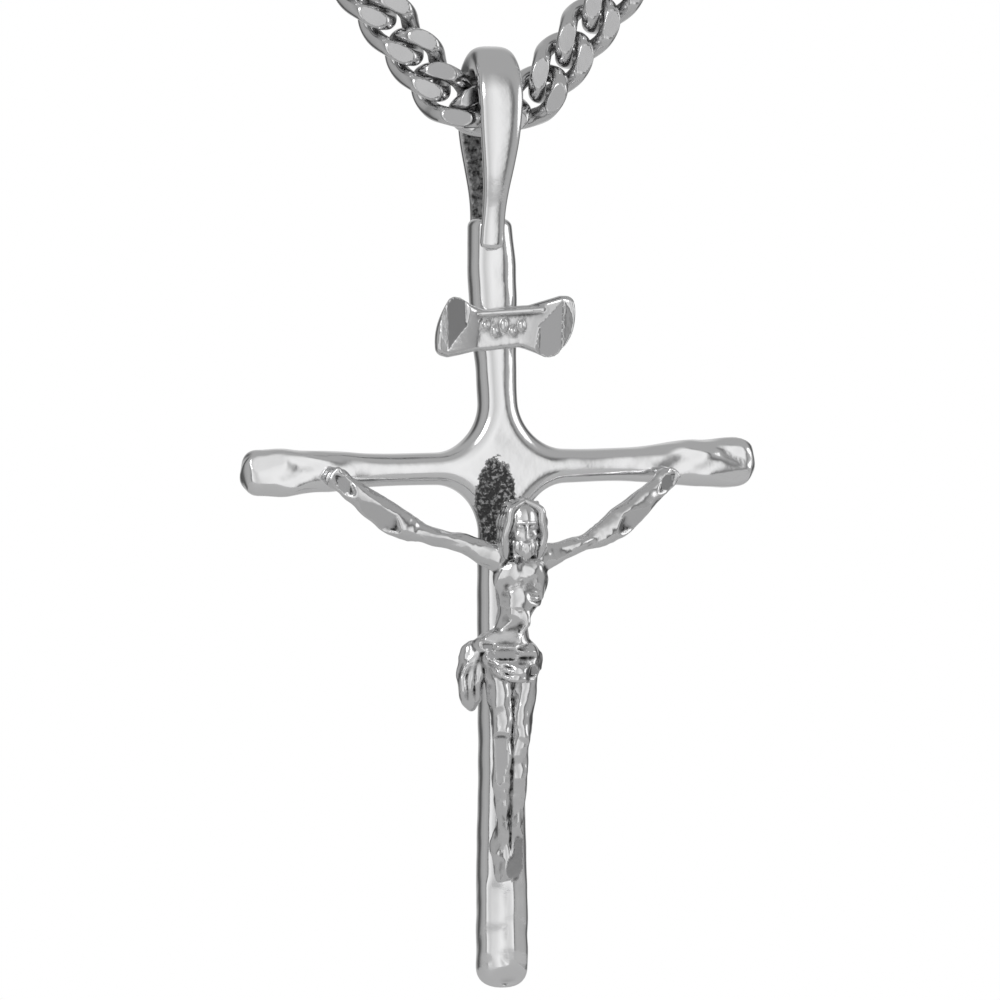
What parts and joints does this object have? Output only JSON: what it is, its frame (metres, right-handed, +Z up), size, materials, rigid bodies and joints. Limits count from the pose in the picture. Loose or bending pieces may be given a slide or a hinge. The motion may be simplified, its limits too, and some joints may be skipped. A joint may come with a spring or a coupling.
{
  "type": "crucifix pendant",
  "caption": "Cast metal crucifix pendant with a figure, a title scroll and a strap bail, hanging on a short stretch of flat-cut curb chain that ends in two rings.",
  "frame": {"origin": "midway between the centres of the two end rings that hold the chain", "axes": "+Z up along the hanging pendant, +X along the cross beam to the viewer's right, +Y out of the back; the front faces -Y"},
  "size_m": [0.0376, 0.0081, 0.0765],
  "materials": {
    "silver": "polished white metal, faintly scratched",
    "dark_silver": "polished white metal, darkened in the hollows"
  },
  "bodies": {
    "end_rings": {"left_end_ring": "silver", "right_end_ring": "silver"},
    "left_link_5": {"left_link_5": "silver"},
    "left_link_4": {"left_link_4": "silver"},
    "left_link_3": {"left_link_3": "silver"},
    "left_link_2": {"left_link_2": "silver"},
    "left_link_1": {"left_link_1": "silver"},
    "right_link_5": {"right_link_5": "silver"},
    "right_link_4": {"right_link_4": "silver"},
    "right_link_3": {"right_link_3": "silver"},
    "right_link_2": {"right_link_2": "silver"},
    "right_link_1": {"right_link_1": "silver"},
    "centre_link": {"centre_link": "silver"},
    "pendant": {"cross_casting": "silver", "bail_strap": "silver", "title_scroll": "silver", "corpus": "dark_silver", "left_hand_peg": "silver", "right_hand_peg": "silver", "foot_peg": "silver", "scroll_peg": "silver"}
  },
  "joints": [
    {"name": "left_sway_5", "type": "hinge", "parent": "end_rings", "child": "left_link_5", "pos_m": [-0.01179, 0, -0.00117], "axis": [1, 0, 0], "range_deg": [-6, 6]},
    {"name": "left_sway_4", "type": "hinge", "parent": "left_link_5", "child": "left_link_4", "pos_m": [-0.00989, 0, -0.00358], "axis": [1, 0, 0], "range_deg": [-6, 6]},
    {"name": "left_sway_3", "type": "hinge", "parent": "left_link_4", "child": "left_link_3", "pos_m": [-0.00793, 0, -0.00605], "axis": [1, 0, 0], "range_deg": [-6, 6]},
    {"name": "left_sway_2", "type": "hinge", "parent": "left_link_3", "child": "left_link_2", "pos_m": [-0.00596, 0, -0.00851], "axis": [1, 0, 0], "range_deg": [-6, 6]},
    {"name": "left_sway_1", "type": "hinge", "parent": "left_link_2", "child": "left_link_1", "pos_m": [-0.00401, 0, -0.01086], "axis": [1, 0, 0], "range_deg": [-6, 6]},
    {"name": "right_sway_5", "type": "hinge", "parent": "end_rings", "child": "right_link_5", "pos_m": [0.01179, 0, -0.00117], "axis": [1, 0, 0], "range_deg": [-6, 6]},
    {"name": "right_sway_4", "type": "hinge", "parent": "right_link_5", "child": "right_link_4", "pos_m": [0.00989, 0, -0.00358], "axis": [1, 0, 0], "range_deg": [-6, 6]},
    {"name": "right_sway_3", "type": "hinge", "parent": "right_link_4", "child": "right_link_3", "pos_m": [0.00793, 0, -0.00605], "axis": [1, 0, 0], "range_deg": [-6, 6]},
    {"name": "right_sway_2", "type": "hinge", "parent": "right_link_3", "child": "right_link_2", "pos_m": [0.00596, 0, -0.00851], "axis": [1, 0, 0], "range_deg": [-6, 6]},
    {"name": "right_sway_1", "type": "hinge", "parent": "right_link_2", "child": "right_link_1", "pos_m": [0.00401, 0, -0.01086], "axis": [1, 0, 0], "range_deg": [-6, 6]},
    {"name": "centre_sway", "type": "hinge", "parent": "left_link_1", "child": "centre_link", "pos_m": [-0.00152, 0, -0.0124], "axis": [1, 0, 0], "range_deg": [-6, 6]},
    {"name": "pendant_swing", "type": "hinge", "parent": "centre_link", "child": "pendant", "pos_m": [0, 0, -0.01283], "axis": [1, 0, 0], "range_deg": [-50, 50]}
  ],
  "couplings": [
    {"joint": "right_sway_5", "follows": "left_sway_5", "ratio": 1},
    {"joint": "right_sway_4", "follows": "left_sway_4", "ratio": 1},
    {"joint": "right_sway_3", "follows": "left_sway_3", "ratio": 1},
    {"joint": "right_sway_2", "follows": "left_sway_2", "ratio": 1},
    {"joint": "right_sway_1", "follows": "left_sway_1", "ratio": 1}
  ]
}
